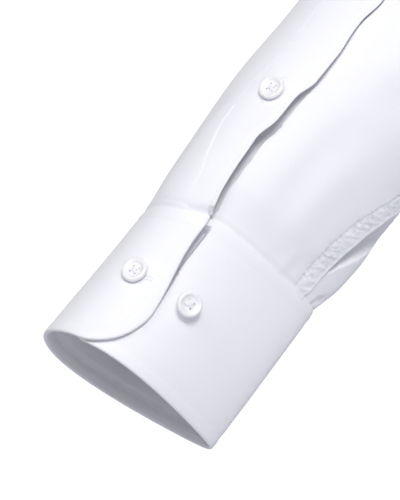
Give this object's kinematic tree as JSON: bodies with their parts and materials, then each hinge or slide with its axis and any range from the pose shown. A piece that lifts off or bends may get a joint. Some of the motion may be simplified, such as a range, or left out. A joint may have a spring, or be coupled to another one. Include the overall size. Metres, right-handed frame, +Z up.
{
  "type": "long sleeve dress shirt",
  "caption": "Long sleeve dress shirt, buttoned and filled out as if worn, with a turned-down collar, a shoulder yoke, sleeve plackets and rounded two-button cuffs.",
  "frame": {"origin": "between the two sides of the neck, at the height where the collar meets the shoulders, where a wearer's shoulders carry the shirt", "axes": "+Z up, +X towards the wearer's left, the front facing -Y"},
  "size_m": [1.2162, 0.266, 0.8357],
  "materials": {
    "shirting": "smooth fine poplin, matt",
    "interlined shirting": "smooth fine poplin over interlining, matt",
    "buttons": "pearly resin"
  },
  "bodies": {
    "root": {"back": "shirting", "yoke": "shirting", "front_left": "shirting", "front_right": "shirting", "front_band": "shirting", "sleeve_left": "shirting", "sleeve_right": "shirting", "placket_left": "shirting", "placket_right": "shirting", "underlap_left": "shirting", "underlap_right": "shirting", "collar_stand": "interlined shirting", "collar": "interlined shirting", "cuff_left": "interlined shirting", "cuff_right": "interlined shirting", "button_collar": "buttons", "button_front_1": "buttons", "button_front_2": "buttons", "button_front_3": "buttons", "button_front_4": "buttons", "button_front_5": "buttons", "button_front_6": "buttons", "button_front_7": "buttons", "button_gauntlet_left": "buttons", "button_cuff_left_1": "buttons", "button_cuff_left_2": "buttons", "button_gauntlet_right": "buttons", "button_cuff_right_1": "buttons", "button_cuff_right_2": "buttons"}
  },
  "joints": []
}
